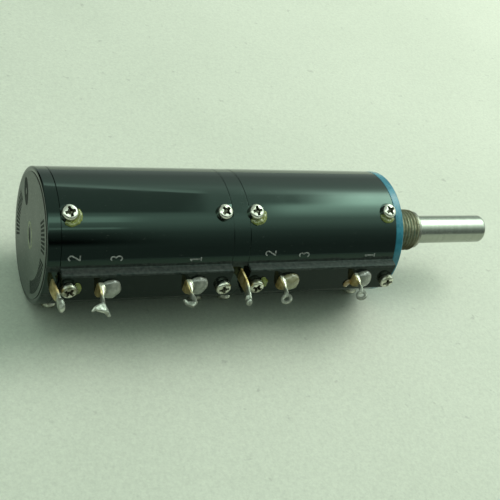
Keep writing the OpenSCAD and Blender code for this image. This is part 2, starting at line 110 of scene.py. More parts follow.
def placed(x, elevation=0.0, height=0.0, shift=0.0):
    """A frame on the body: local X along the shaft, local Z straight out, local Y round the body."""
    e = radians(elevation)
    out = Vector((0, -cos(e), sin(e)))
    side = Vector((0, sin(e), cos(e)))
    origin = Vector((x, 0, 0)) + out * height + side * shift
    return Matrix([*zip((1, 0, 0), side, out, origin), (0, 0, 0, 1)])


def added(name, data):
    """An object of the scene that holds a mesh, light or camera."""
    obj = bpy.data.objects.new(name, data)
    bpy.context.scene.collection.objects.link(obj)
    return obj


def finish_mesh(mesh, angle):
    """Welds, turns the normals outwards and keeps edges sharper than the angle."""
    work = bmesh.new()
    work.from_mesh(mesh)
    bmesh.ops.remove_doubles(work, verts=work.verts, dist=1e-7)
    bmesh.ops.recalc_face_normals(work, faces=work.faces)
    work.to_mesh(mesh)
    work.free()
    mesh.polygons.foreach_set("use_smooth", [True] * len(mesh.polygons))
    mesh.set_sharp_from_angle(angle=radians(angle))


def solid(name, points, faces, matrix=None, angle=35):
    """A mesh object from points in millimetres."""
    place = matrix or Matrix.Identity(4)
    mesh = bpy.data.meshes.new(name)
    mesh.from_pydata([(place @ Vector(p)) * MM for p in points], [], faces)
    finish_mesh(mesh, angle)
    return added(name, mesh)


def piece(obj, material, replaced=(), body="body"):
    """Gives a mesh its material and puts it on its CAD body."""
    if material:
        obj.data.materials.clear()
        obj.data.materials.append(material)
    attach(obj, body)
    even = obj.modifiers.new("even", "WEIGHTED_NORMAL")
    even.keep_sharp = True
    if replaced:
        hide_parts(*replaced)


def grid_faces(rows, columns, closed=False, capped=False):
    """Quads between rings of points; closed joins last to first, capped fills both ends."""
    faces = []
    for i in range(rows if closed else rows - 1):
        for j in range(columns):
            a, b = i * columns, ((i + 1) % rows) * columns
            k = (j + 1) % columns
            faces.append((a + j, a + k, b + k, b + j))
    if capped:
        faces.append(tuple(reversed(range(columns))))
        faces.append(tuple((rows - 1) * columns + j for j in range(columns)))
    return faces


def curved_bar(name, outlines):
    """A solid of stacked outlines, each running up one side of a curved bar and back down the other."""
    n = len(outlines[0])
    points = [point for outline in outlines for point in outline]
    faces = grid_faces(len(outlines), n)
    for base in (0, len(points) - n):
        for i in range(n // 2 - 1):
            faces.append((base + i, base + i + 1, base + n - 2 - i, base + n - 1 - i))
    return solid(name, points, faces)


def turned(name, profile, segments, closed=False, axis="x", matrix=None, angle=35):
    """A turned part from (station, radius) pairs, about the shaft's axis or about local Z."""
    points = []
    for station, radius in profile:
        for j in range(segments):
            c, s = radius * cos(TAU * j / segments), radius * sin(TAU * j / segments)
            points.append((station, -c, s) if axis == "x" else (c, s, station))
    faces = grid_faces(len(profile), segments, closed)
    return solid(name, points, faces, matrix, angle)


def arc(cx, cy, r, start, end, steps):
    """Points along an arc, in degrees."""
    turns = [radians(start + (end - start) * i / steps) for i in range(steps + 1)]
    return [(cx + r * cos(t), cy + r * sin(t)) for t in turns]


def carve(obj, cutter, angle):
    """Cuts one mesh out of another."""
    cut = obj.modifiers.new("cut", "BOOLEAN")
    cut.object = cutter
    cut.operation = "DIFFERENCE"
    cut.solver = "EXACT"
    bake(obj)
    bpy.data.objects.remove(cutter)
    finish_mesh(obj.data, angle)


def bake(obj):
    """Applies the modifiers of an object."""
    bpy.context.view_layer.update()
    seen = obj.evaluated_get(bpy.context.evaluated_depsgraph_get())
    mesh = bpy.data.meshes.new_from_object(seen)
    obj.modifiers.clear()
    obj.data = mesh


def joined(name, objects):
    """Joins meshes into one new object, in place of the old ones."""
    work = bmesh.new()
    for o in objects:
        o.data.transform(o.matrix_world)
        work.from_mesh(o.data)
    mesh = bpy.data.meshes.new(name)
    work.to_mesh(mesh)
    work.free()
    for o in objects:
        bpy.data.objects.remove(o)
    return added(name, mesh)


def blob(name, balls, matrix, voxel, rough, grain=1.2, seed=0.0):
    """Balls of (x, y, z, rx, ry, rz) melted into one lump, with a little unevenness."""
    work = bmesh.new()
    for x, y, z, rx, ry, rz in balls:
        where = Matrix.Translation((x, y, z)) @ Matrix.Diagonal((rx, ry, rz, 1))
        bmesh.ops.create_icosphere(work, subdivisions=3, radius=1, matrix=where)
    mesh = bpy.data.meshes.new(name)
    work.to_mesh(mesh)
    work.free()
    obj = added(name, mesh)
    melt = obj.modifiers.new("melt", "REMESH")
    melt.mode = "VOXEL"
    melt.voxel_size = voxel
    relax = obj.modifiers.new("relax", "SMOOTH")
    relax.factor = 0.5
    relax.iterations = 6
    bake(obj)
    shift = Vector((seed, seed * 0.7, -seed))
    for v in obj.data.vertices:
        v.co += v.normal * rough * noise.noise(v.co * grain + shift)
    obj.data.transform(Matrix.Scale(MM, 4) @ matrix)
    finish_mesh(obj.data, 60)
    return obj


# ---- material helpers

class Nodes:
    """A node tree and short ways to add nodes to it."""

    def __init__(self, tree):
        self.tree = tree

    def node(self, kind, **values):
        """A new shader node with its settings."""
        made = self.tree.nodes.new("ShaderNode" + kind)
        for name, value in values.items():
            setattr(made, name, value)
        return made

    def link(self, source, target):
        """Joins an output to an input."""
        self.tree.links.new(source, target)

    def math(self, kind, a, b=0.0, c=0.0):
        """One Math node; an input is a number or another node's output."""
        made = self.node("Math", operation=kind)
        for socket, value in zip(made.inputs, (a, b, c)):
            if isinstance(value, float):
                socket.default_value = value
            else:
                self.link(value, socket)
        return made.outputs[0]

    def axes(self, vector):
        """The x, y and z of a vector."""
        split = self.node("SeparateXYZ")
        self.link(vector, split.inputs[0])
        return split.outputs

    def ramp(self, factor, stops):
        """A colour ramp from (position, colour or grey) stops."""
        made = self.node("ValToRGB")
        elements = made.color_ramp.elements
        while len(elements) < len(stops):
            elements.new(0.5)
        for element, (position, value) in zip(elements, stops):
            element.position = position
            grey = isinstance(value, float)
            element.color = (value, value, value, 1) if grey else (*value, 1)
        self.link(factor, made.inputs["Fac"])
        return made.outputs["Color"]


class Look(Nodes):
    """A Principled material; further sockets are named with _ for a space."""

    def __init__(self, name, color, roughness, metallic=0.0, **sockets):
        self.material = bpy.data.materials.new(name)
        self.material.use_nodes = True
        super().__init__(self.material.node_tree)
        self.shader = self.tree.nodes["Principled BSDF"]
        self.shader.inputs["Base Color"].default_value = (*color, 1)
        self.shader.inputs["Roughness"].default_value = roughness
        self.shader.inputs["Metallic"].default_value = metallic
        for socket, value in sockets.items():
            self.shader.inputs[socket.replace("_", " ")].default_value = value
        self.place = self.node("TexCoord").outputs["Object"]

    def stretched(self, x, y, z):
        """Object coordinates scaled per axis."""
        mapping = self.node("Mapping")
        mapping.inputs["Scale"].default_value = (x, y, z)
        self.link(self.place, mapping.inputs["Vector"])
        return mapping.outputs["Vector"]

    def noise(self, scale, detail=4.0, rough=0.55, vector=None):
        """Noise from 0 to 1, in object space unless a vector is given."""
        made = self.node("TexNoise")
        made.inputs["Scale"].default_value = scale
        made.inputs["Detail"].default_value = detail
        made.inputs["Roughness"].default_value = rough
        self.link(vector or self.place, made.inputs["Vector"])
        return made.outputs["Fac"]

    def color(self, socket):
        """Drives the base colour."""
        self.link(socket, self.shader.inputs["Base Color"])

    def roughness(self, socket):
        """Drives the roughness."""
        self.link(socket, self.shader.inputs["Roughness"])

    def blend(self, factor, a, b, kind="MIX"):
        """Colour a turning to b as factor rises; each is a colour or a node's output."""
        mix = self.node("Mix", data_type="RGBA", blend_type=kind)
        for name, value in (("Factor", factor), ("A", a), ("B", b)):
            if isinstance(value, float):
                mix.inputs[name].default_value = value
            elif isinstance(value, tuple):
                mix.inputs[name].default_value = (*value, 1)
            else:
                self.link(value, mix.inputs[name])
        return mix.outputs["Result"]

    def bump(self, height, strength, distance, after=None):
        """Bump from a height, on top of an earlier bump if one is given."""
        made = self.node("Bump")
        made.inputs["Strength"].default_value = strength
        made.inputs["Distance"].default_value = distance
        self.link(height, made.inputs["Height"])
        if after:
            self.link(after, made.inputs["Normal"])
        self.link(made.outputs["Normal"], self.shader.inputs["Normal"])
        return made.outputs["Normal"]


def black_plastic():
    """Glossy black, faintly dusty, and grey where the pad meets the round body: scuffing with a painted
    sheen on the pad's walls.
    """
    tint = (0.66, 1.0, 0.86, 1)
    look = Look("black_plastic", (0.002, 0.003, 0.003), 0.05, Specular_Tint=tint)
    smear = look.noise(160, 5)
    gloss = look.ramp(smear, [(0.35, 0.04), (0.72, 0.11)])
    dust = look.noise(2600, 2, vector=look.stretched(0.35, 1, 1))
    plain = look.ramp(dust, [(0.68, (0.0018, 0.003, 0.0026)), (0.82, (0.03, 0.036, 0.031))])
    # The pad's walls turn grey and rough: partly real scuffing, partly a painted sheen standing in for
    # the lit band on the upper wall.
    x, y, z = look.axes(look.place)
    edge = look.math("ABSOLUTE", look.math("SUBTRACT", look.math("ABSOLUTE", z), 3.3 * MM))
    along = look.noise(700, 4, vector=look.stretched(0.25, 1, 1))
    reach = look.math("MULTIPLY_ADD", along, 1.1 * MM, -0.05 * MM)
    scuff_and_sheen = look.math("MULTIPLY", look.math("LESS_THAN", edge, reach),
                     look.math("LESS_THAN", y, -11.75 * MM))
    scuff_and_sheen = look.math("MULTIPLY", scuff_and_sheen, 0.85)
    scuff_and_sheen_tone = look.ramp(look.noise(1500, 4), [(0.3, (0.012, 0.016, 0.014)), (0.7, (0.06, 0.066, 0.06))])
    look.color(look.blend(scuff_and_sheen, plain, scuff_and_sheen_tone))
    look.roughness(look.blend(scuff_and_sheen, gloss, (0.5, 0.5, 0.5)))
    dull = look.math("MAXIMUM", scuff_and_sheen, look.math("LESS_THAN", y, -13.7 * MM))
    level = look.math("MULTIPLY_ADD", dull, -0.3, 0.5)
    look.link(level, look.shader.inputs["Specular IOR Level"])
    ripple = look.bump(look.noise(90, 2), 0.25, 0.00002)
    scratch = look.noise(900, 3, vector=look.stretched(0.12, 1, 1))
    look.bump(scratch, 0.04, 0.00002, ripple)
    return look.material


def blue_plastic():
    """Satin sky blue, slightly clouded."""
    look = Look("blue_plastic", (0.01, 0.20, 0.28), 0.25)
    cloud = look.noise(420, 4)
    look.color(look.ramp(cloud, [(0.3, (0.010, 0.145, 0.205)), (0.7, (0.028, 0.24, 0.325))]))
    look.roughness(look.ramp(cloud, [(0.3, 0.2), (0.7, 0.32)]))
    look.bump(look.noise(1500, 3), 0.15, 0.00003)
    return look.material


def plated(name, dark, light, low, high, scale=700, bump=0.12):
    """A plated metal whose colour and gloss vary with the same stains."""
    look = Look(name, light, high, 1.0)
    stain = look.noise(scale, 5)
    look.color(look.ramp(stain, [(0.3, dark), (0.62, light)]))
    look.roughness(look.ramp(stain, [(0.3, high), (0.65, low)]))
    look.bump(look.noise(scale * 3, 3), bump, 0.00003)
    return look.material


def gold_plate():
    """Tarnished gold on the strip, tinned with solder towards the end."""
    look = Look("gold_plate", (0.6, 0.45, 0.2), 0.4, 0.75)
    stain = look.noise(900, 5)
    gold = look.ramp(stain, [(0.3, (0.26, 0.18, 0.05)), (0.65, (0.78, 0.62, 0.30))])
    tin = look.ramp(stain, [(0.3, (0.16, 0.17, 0.135)), (0.65, (0.45, 0.47, 0.40))])
    height = look.math("MULTIPLY", look.axes(look.place)[1], -1 / MM / 20)
    wander = look.math("MULTIPLY_ADD", look.noise(500, 3), 0.1, height)
    where = look.ramp(wander, [(0.83, 0.0), (0.88, 1.0)])
    look.color(look.blend(where, gold, tin))
    look.roughness(look.ramp(stain, [(0.3, 0.5), (0.65, 0.3)]))
    look.bump(look.noise(2200, 3), 0.2, 0.00003)
    return look.material


def bushing_nickel():
    """Dull nickel over brass, with painted shade that darkens it towards its underside."""
    look = Look("bushing_nickel", (0.4, 0.37, 0.25), 0.42, 0.8)
    stain = look.noise(900, 5)
    lit_nickel = look.ramp(stain, [(0.3, (0.28, 0.265, 0.165)), (0.65, (0.53, 0.505, 0.355))])
    shaded_nickel = look.ramp(stain, [(0.3, (0.06, 0.052, 0.024)), (0.65, (0.125, 0.11, 0.06))])
    # Painted shade: the lower side takes a darker copy of the nickel, the upper side a lit one.
    height = look.math("MULTIPLY_ADD", look.axes(look.place)[2], 0.095 / MM, 0.33)
    drift = look.math("MULTIPLY_ADD", look.noise(300, 3), 0.3, height)
    look.color(look.blend(look.ramp(drift, [(0.35, 0.0), (0.95, 1.0)]), shaded_nickel, lit_nickel))
    look.roughness(look.ramp(stain, [(0.3, 0.55), (0.65, 0.38)]))
    look.bump(look.noise(2700, 3), 0.12, 0.00003)
    return look.material


def shaft_steel():
    """Bright steel with fine lines from turning."""
    look = Look("shaft_steel", (0.34, 0.35, 0.31), 0.24, 1.0, Anisotropic=0.4)
    lines = look.noise(5200, 3, vector=look.stretched(1, 0.02, 0.02))
    look.color(look.ramp(lines, [(0.3, (0.295, 0.31, 0.265)), (0.7, (0.37, 0.385, 0.34))]))
    look.roughness(look.ramp(look.noise(500, 4), [(0.3, 0.21), (0.7, 0.28)]))
    look.bump(lines, 0.15, 0.00001)
    return look.material


def clear_resin(name, color, cloudy, coat=1.0, metal=0.0):
    """Glossy cast resin or lacquer with cloudy patches."""
    look = Look(name, color, 0.28, metal, Transmission_Weight=0.2, IOR=1.5, Coat_Weight=coat,
                Coat_Roughness=0.12)
    cloud = look.noise(620, 5, 0.62)
    look.color(look.ramp(cloud, [(0.3, cloudy), (0.66, color)]))
    look.roughness(look.ramp(cloud, [(0.3, 0.3), (0.7, 0.14)]))
    look.bump(look.noise(1400, 3), 0.35, 0.00008)
    return look.material


def label_grey():
    """A grey-green printed film with pale flecks."""
    look = Look("label_grey", (0.09, 0.115, 0.10), 0.42, Specular_IOR_Level=0.4)
    cloud = look.noise(240, 5)
    fleck = look.noise(3200, 2)
    base = look.ramp(cloud, [(0.3, (0.068, 0.085, 0.072)), (0.7, (0.108, 0.13, 0.108))])
    flecks = look.ramp(fleck, [(0.55, 0.0), (0.72, 1.0)])
    look.color(look.blend(flecks, base, (0.165, 0.19, 0.155)))
    look.bump(fleck, 0.2, 0.00003)
    return look.material


def ink(name, dark, light):
    """Matte printed ink, slightly broken up."""
    look = Look(name, light, 0.5, Specular_IOR_Level=0.06)
    look.color(look.ramp(look.noise(2400, 4), [(0.35, dark), (0.6, light)]))
    look.roughness(look.ramp(look.noise(1200, 3), [(0.3, 0.45), (0.7, 0.65)]))
    return look.material


def wound_wire():
    """Fine wire side by side round a core."""
    look = Look("wire_wound", (0.42, 0.22, 0.08), 0.35, 1.0)
    wave = look.node("TexWave", bands_direction="Y")
    wave.inputs["Scale"].default_value = 2600
    wave.inputs["Distortion"].default_value = 0.4
    look.link(look.place, wave.inputs["Vector"])
    look.color(look.ramp(wave.outputs["Fac"], [(0.2, (0.2, 0.1, 0.04)), (0.7, (0.5, 0.28, 0.1))]))
    look.bump(wave.outputs["Fac"], 0.5, 0.00005)
    return look.material


def moulded(name, dark, light):
    """Plain moulded plastic between two tones."""
    look = Look(name, light, 0.45)
    look.color(look.ramp(look.noise(300, 4), [(0.3, dark), (0.7, light)]))
    look.bump(look.noise(2200, 3), 0.15, 0.00004)
    return look.material


BLACK = black_plastic()
BLUE = blue_plastic()
BUSHING = bushing_nickel()
SHAFT = shaft_steel()
SCREW = plated("screw_nickel", (0.40, 0.39, 0.31), (0.70, 0.70, 0.62), 0.17, 0.36)
CLIP = plated("clip_steel", (0.16, 0.16, 0.13), (0.36, 0.36, 0.31), 0.24, 0.42)
GOLD = gold_plate()
SOLDER = plated("solder", (0.20, 0.21, 0.18), (0.56, 0.58, 0.51), 0.34, 0.6, 900, 0.3)
DULL_SOLDER = plated("dull_solder", (0.10, 0.11, 0.09), (0.30, 0.31, 0.27), 0.45, 0.7, 900, 0.4)
# Painted shade for the inside of the screws' cross recesses.
RECESS_SHADE = plated("screw_recess_shade", (0.05, 0.05, 0.03), (0.16, 0.16, 0.12), 0.35, 0.6)
# A darker, dirtier screw finish, also used as painted shade on the screws under the body.
SCREW_AGED_AND_SHADED = plated("screw_aged_and_shaded", (0.13, 0.13, 0.07), (0.74, 0.74, 0.64), 0.18, 0.5, 620, 0.2)
RESIN = clear_resin("resin", (0.40, 0.43, 0.36), (0.13, 0.155, 0.11))
YELLOW_RESIN = clear_resin("yellow_resin", (0.44, 0.44, 0.25), (0.19, 0.19, 0.08))
PALE_RESIN = clear_resin("pale_resin", (0.97, 0.98, 0.80), (0.70, 0.70, 0.48), 1.0, 0.6)
# Amber for the painted reflection of front lug 1 in the pad.
AMBER_REFLECTION = clear_resin("amber_lug_reflection", (0.46, 0.33, 0.15), (0.20, 0.13, 0.04), 0.3)
LACQUER = clear_resin("lacquer", (0.27, 0.33, 0.06), (0.10, 0.13, 0.02), 0.25)
LABEL = label_grey()
WHITE_INK = ink("white_ink", (0.13, 0.14, 0.13), (0.42, 0.44, 0.42))
PALE_INK = ink("pale_ink", (0.20, 0.23, 0.15), (0.40, 0.44, 0.30))
DARK_INK = ink("dark_ink", (0.005, 0.008, 0.007), (0.02, 0.028, 0.024))
BRONZE = plated("bronze", (0.28, 0.17, 0.06), (0.50, 0.34, 0.14), 0.25, 0.45)
WIRE = wound_wire()
CREAM = moulded("cream_plastic", (0.50, 0.44, 0.29), (0.64, 0.57, 0.40))
BRASS = plated("slip_brass", (0.46, 0.32, 0.11), (0.72, 0.54, 0.22), 0.16, 0.34)


# ---- body

def housing_outline(inset=0.0):
    """The housing's cross-section as (round, out) pairs, drawn in by inset."""
    r = BODY_R - inset
    half, top = PAD_WIDTH / 2 - inset, PAD_HEIGHT - inset
    edge, root = 0.4, 0.3
    cy = sqrt((r + root) ** 2 - (half + root) ** 2)
    right = [(half * i / 6 * 0.85, top) for i in range(7)]
    right += arc(half - edge, top - edge, edge, 90, 0, 8)
    meet = degrees(atan2(-cy, -(half + root)))
    right += arc(half + root, cy, root, 180, meet + 360, 6)
    first = degrees(atan2(half + root, cy))
    steps = 170
    turns = [radians(first + (180 - first) * (i + 1) / steps) for i in range(steps)]
    right += [(r * sin(t), r * cos(t)) for t in turns]
    left = [(-u, v) for u, v in reversed(right[1:-1])]
    return right + left


def housing(name, x0, x1):
    """A tube with the flat pad along it, its outer edges rounded."""
    bevel = 0.09
    rounding = [(0, 1), (0.3, 0.42), (0.62, 0.12), (1, 0)]
    rows = [(x0 + bevel * s, bevel * i) for s, i in rounding]
    rows += [(x1 - bevel * s, bevel * i) for s, i in reversed(rounding)]
    points = []
    for x, inset in rows:
        points += [(x, -v, u) for u, v in housing_outline(inset)]
    outline = housing_outline()
    for x in (x1, x0):
        for u, v in outline:
            k = BORE_R / hypot(u, v)
            points.append((x, -v * k, u * k))
    return solid(name, points, grid_faces(len(rows) + 2, len(outline), True), angle=40)


def spot_faces(obj, stations):
    """Flat seats for the screw heads, cut into the round body."""
    reach, top = HEAD_R + 0.32, BODY_R + 1
    rim = [(SEAT_R, 0), (SEAT_R, reach), (top, reach), (top, 0)]
    for x in stations:
        for e in RING_SCREWS:
            carve(obj, turned("cutter", rim, 48, axis="z", matrix=placed(x, e)), 40)


def body_pieces():
    """The two housings."""
    sections = (("front", FRONT_END, FRONT_START, (LID_ROW, FRONT_ROW)),
                ("rear", REAR_END, REAR_START, (REAR_ROW, END_ROW)))
    for section, x0, x1, rows in sections:
        shell = housing(f"{section}_section_shell", x0, x1)
        spot_faces(shell, rows)
        piece(shell, BLACK, [f"{section}_housing"])


def ring_piece():
    """The ring between the sections, with a spigot into each."""
    r, edge = BODY_R - 0.01, 0.08
    x0, x1 = REAR_START + 0.01, FRONT_END - 0.01
    profile = [(x0, SPIGOT_R), *arc(x0 + edge, r - edge, edge, 180, 90, 4)]
    profile += [*arc(x1 - edge, r - edge, edge, 90, 0, 4), (x1, SPIGOT_R)]
    front, rear = x1 + RING_FRONT_SPIGOT, x0 - RING_REAR_SPIGOT
    profile += [(front, SPIGOT_R), (front, SPIGOT_INNER_R), (x1, SPIGOT_INNER_R)]
    profile += [(x1, BEARING_R), (x0, BEARING_R), (x0, SPIGOT_INNER_R)]
    profile += [(rear, SPIGOT_INNER_R), (rear, SPIGOT_R)]
    ring = turned("section_ring", profile, 240, True)
    piece(ring, BLACK, ["middle_ring"])


def front_lid_piece():
    """The blue lid: a rounded rim, a flat face and a spigot."""
    edge, groove = 0.3, 0.1
    end = FRONT_START - LID_SPIGOT
    profile = [(0, COLLAR_R), (0, BODY_R - edge)]
    profile += arc(-edge, BODY_R - edge, edge, 0, 90, 6)[1:]
    profile += [(FRONT_START + groove, BODY_R), (FRONT_START, BODY_R - groove)]
    profile += [(FRONT_START, SPIGOT_R), (end, SPIGOT_R)]
    profile += [(end, SPIGOT_INNER_R), (FRONT_START, SPIGOT_INNER_R)]
    profile += [(FRONT_START, COLLAR_R)]
    piece(turned("blue_front_lid", profile, 240, True), BLUE, ["front_lid"])


def rear_lid_piece():
    """The black rear lid, with a raised lip round the label."""
    edge, groove, lip_r, boss_r = 0.35, 0.1, 11.62, 3.8
    low, floor_x = BACK + 0.05, BACK + 1
    end, boss = REAR_END + REAR_SPIGOT, REAR_END + 0.35
    profile = [(low, 0), (low, lip_r), (BACK, lip_r + 0.1), (BACK, BODY_R - edge)]
    profile += arc(BACK + edge, BODY_R - edge, edge, 180, 90, 6)[1:]
    profile += [(REAR_END - groove, BODY_R), (REAR_END, BODY_R - groove), (REAR_END, SPIGOT_R)]
    profile += [(end, SPIGOT_R), (end, SPIGOT_INNER_R), (REAR_END, SPIGOT_INNER_R)]
    profile += [(REAR_END, boss_r), (boss, boss_r), (boss, BEARING_R), (floor_x, BEARING_R)]
    profile += [(floor_x, 0)]
    piece(turned("rear_end_lid", profile, 240), BLACK, ["rear_lid"])


# ---- label and printed figures

INK_LIFT, INK_T = 0.02, 0.016
TICK_IN, TICK_OUT, TICK_TURN, TICK_PITCH = 8.2, 10.6, 2.8, 4.5
TICK_RUNS = ((-42, 14), (122, 160), (166, 234))


def label_oval(right, up, half_width, half_height):
    """A loop of (y, z) points round an upright oval; up is between +Y and +Z, as it lies."""
    loop = []
    for i in range(48):
        a = TAU * i / 48
        across, rise = right + half_width * cos(a), up + half_height * sin(a)
        loop.append(((rise - across) / sqrt(2), (rise + across) / sqrt(2)))
    return loop


def label_ring(name, centre, outer, inner):
    """A thin printed oval ring; outer and inner are half its width and half its height."""
    front, back = LABEL_BACK + INK_LIFT, LABEL_BACK + INK_LIFT - INK_T
    points = []
    for x, half in ((front, outer), (back, outer), (back, inner), (front, inner)):
        points += [(x, u, v) for u, v in label_oval(*centre, *half)]
    return solid(name, points, grid_faces(4, len(points) // 4, True))


def label_tick(start):
    """One printed tick near the label's rim, starting at an angle."""
    turns = [radians(start + TICK_TURN * i / 2) for i in range(3)]
    loop = [(TICK_OUT * cos(t), TICK_OUT * sin(t)) for t in turns]
    loop += [(TICK_IN * cos(t), TICK_IN * sin(t)) for t in reversed(turns)]
    front = LABEL_BACK + INK_LIFT
    return curved_bar("tick", [[(x, u, v) for u, v in loop] for x in (front, front - INK_T)])


def label_pieces():
    """The label disc, runs of plain ticks, a dark oval ring and a pale oval with a slit."""
    x = LABEL_BACK
    disc = [(x + 0.14, 0), (x + 0.14, 11.5), (x + 0.05, 11.56), (x + 0.02, 11.5), (x + 0.02, 0)]
    piece(turned("rear_label_disc", disc, 200), LABEL, ["rear_label"])
    marks = []
    for start, end in TICK_RUNS:
        for k in range(int((end - start) / TICK_PITCH)):
            marks.append(label_tick(start + TICK_PITCH * k))
    marks.append(label_ring("mark", (-1.8, 8.1), (1.4, 2.6), (0.35, 0.65)))
    piece(joined("label_printed_marks", marks), DARK_INK)
    rim = label_ring("label_centre_oval", (0, 0), (1.6, 2.55), (1.15, 2.1))
    piece(rim, PALE_INK)
    slit = label_ring("label_centre_slit", (-0.35, 0), (0.42, 1.4), (0.0126, 0.042))
    piece(slit, DARK_INK)


def stroke(path, width):
    """A ribbon of that width along a path, as (left, right) point pairs."""
    pairs = []
    for i, (x, y) in enumerate(path):
        before, after = path[max(0, i - 1)], path[min(len(path) - 1, i + 1)]
        dx, dy = after[0] - before[0], after[1] - before[1]
        size = hypot(dx, dy)
        nx, ny = -dy / size * width / 2, dx / size * width / 2
        pairs.append(((x + nx, y + ny), (x - nx, y - ny)))
    return pairs


def digit_paths(figure):
    """The strokes of a figure in a box 1.25 wide and 2.4 high, as (right, up) points."""
    if figure == 1:
        return [[(0.25, 1.95), (0.62, 2.3)], [(0.62, 2.4), (0.62, 0)], [(0.2, 0.02), (1.05, 0.02)]]
    if figure == 2:
        bowl = [(0.62 + 0.5 * cos(a), 1.78 + 0.52 * sin(a))
                for a in [radians(165 - 205 * i / 14) for i in range(15)]]
        return [[*bowl, (0.55, 0.72), (0.12, 0.1)], [(0.05, 0.1), (1.18, 0.1)]]
    upper = [(0.58 + 0.45 * cos(a), 1.82 + 0.47 * sin(a))
             for a in [radians(150 - 225 * i / 14) for i in range(15)]]
    lower = [(0.58 + 0.52 * cos(a), 0.68 + 0.6 * sin(a))
             for a in [radians(82 - 235 * i / 16) for i in range(17)]]
    return [upper, lower]


def digit(name, figure, x, elevation):
    """A figure on the body whose top points to -X."""
    line, centre, middle, narrow, low = 0.27, 0.62, 1.2, 0.86, 0.93
    points, faces = [], []
    for path in digit_paths(figure):
        start = len(points)
        pairs = stroke(path, line)
        for left, right in pairs:
            for r in (BODY_R - 0.03, BODY_R + 0.02):
                for across, up in (left, right):
                    turn = radians(elevation) + (across - centre) * narrow / BODY_R
                    back = (up - middle) * low
                    points.append((x - back, -r * cos(turn), r * sin(turn)))
        for i in range(len(pairs) - 1):
            a, b = start + 4 * i, start + 4 * i + 4
            faces += [(a, a + 1, b + 1, b), (a + 2, b + 2, b + 3, a + 3)]
            faces += [(a, b, b + 2, a + 2), (a + 1, a + 3, b + 3, b + 1)]
        end = len(points) - 4
        faces += [(start, start + 2, start + 3, start + 1), (end, end + 1, end + 3, end + 2)]
    piece(solid(name, points, faces), WHITE_INK)


def digit_pieces():
    """The terminals' numbers, printed on the round body beside the pad."""
    places = (("rear", 2, REAR_END + 2.3, 23.9), ("rear", 3, REAR_3 + 3.2, 23.0),
              ("rear", 1, REAR_1 + 1.65, 20.4), ("front", 2, FRONT_END + 4.4, 24.0),
              ("front", 3, FRONT_3 + 5.0, 21.9), ("front", 1, FRONT_1 + 3.35, 19.9))
    for section, figure, x, elevation in places:
        digit(f"{section}_figure_{figure}", figure, x, elevation)


# ---- bushing, shaft, clip

def bushing_piece():
    """The mounting bushing with its cut thread, chamfered at the end."""
    pitch, crest, root = 0.75, 4.42, 4.02
    columns, rows_per_turn = 120, 12
    start, end, chamfer, slope = 0.7, BUSHING_END, 0.55, 0.85
    rows = [(BUSHING_BACK, BUSHING_BORE_R, 0), (BUSHING_BACK, FLANGE_R, 0), (FRONT_START, FLANGE_R, 0)]
    rows += [(FRONT_START, COLLAR_R, 0), (-0.05, COLLAR_R, 0), (0, COLLAR_R - 0.05, 0)]
    rows += [(0, root, 0), (start * 0.6, root, 0)]
    count = int((end - start) / pitch * rows_per_turn)
    for i in range(count + 1):
        x = start + (end - start) * i / count
        rows.append((x, crest - max(0.0, x - (end - chamfer)) * slope, i > 0))
    rows += [(end, BUSHING_BORE_R + 0.25, 0), (end - 0.25, BUSHING_BORE_R, 0)]
    points = []
    for x, r, threaded in rows:
        for j in range(columns):
            here, turn = r, TAU * j / columns
            if threaded:
                depth = abs(2 * ((x / pitch - j / columns) % 1) - 1)
                groove = (crest - root) * min(1.0, max(0.0, depth * 1.25 - 0.12))
                here = max(root, min(r, crest - groove))
            points.append((x, -here * cos(turn), here * sin(turn)))
    obj = solid("threaded_bushing", points, grid_faces(len(rows), columns, True), angle=50)
    piece(obj, BUSHING, ["mounting_bushing"])


def shaft_piece():
    """The turned shaft with two grooves, a rounded end and a slimmer inner part."""
    r, inner, groove, inner_groove = SHAFT_R, INNER_SHAFT_R, 2.65, 1.65
    chamfer, rounding, end = 0.2, 0.75, SHAFT_END - 0.02
    shoulder = BUSHING_BACK - 0.35
    clip0, clip1 = ends("shaft_retaining_clip")
    rear0, rear1 = ends("rear_shaft_circlip")
    profile = [(SHAFT_BACK, 0), (SHAFT_BACK, inner - chamfer), (SHAFT_BACK + chamfer, inner)]
    profile += [(rear0, inner), (rear0, inner_groove), (rear1, inner_groove), (rear1, inner)]
    profile += [(shoulder, inner), (shoulder, r - 0.08), (shoulder + 0.08, r)]
    profile += [(clip0, r), (clip0, groove), (clip1, groove), (clip1, r)]
    profile += [(SHAFT_END - 0.85, r), *arc(SHAFT_END - rounding, r - rounding, rounding, 90, 0, 8)]
    profile += [(end, 1.2), (end, 0)]
    piece(turned("turned_shaft", profile, 160), SHAFT, ["shaft"], "shaft")


def spring_ring(name, node, r_out, r_groove, r_relief):
    """An E-shaped spring clip, open below, whose three prongs grip the groove."""
    x0, x1 = ends(node)
    steps, bevel = 150, 0.06
    half, gap = 38.0, 210.0
    outer, inner = [], []
    for i in range(steps + 1):
        turn = -180 + half + (360 - 2 * half) * i / steps
        prong = min(abs(turn), abs(abs(turn) - (180 - half)) * 1.15)
        a = radians(turn + gap + 180)
        outer.append((a, r_out))
        inner.append((a, r_groove + (r_relief - r_groove) * ease(9, 16, prong)))
    outlines = []
    for x, draw in ((x0, bevel), (x0 + bevel, 0), (x1 - bevel, 0), (x1, bevel)):
        loop = [(a, r - draw) for a, r in outer] + [(a, r + draw) for a, r in reversed(inner)]
        outlines.append([(x, -r * cos(a), r * sin(a)) for a, r in loop])
    piece(curved_bar(name, outlines), CLIP, [node], "shaft")


# ---- screws and lacquer

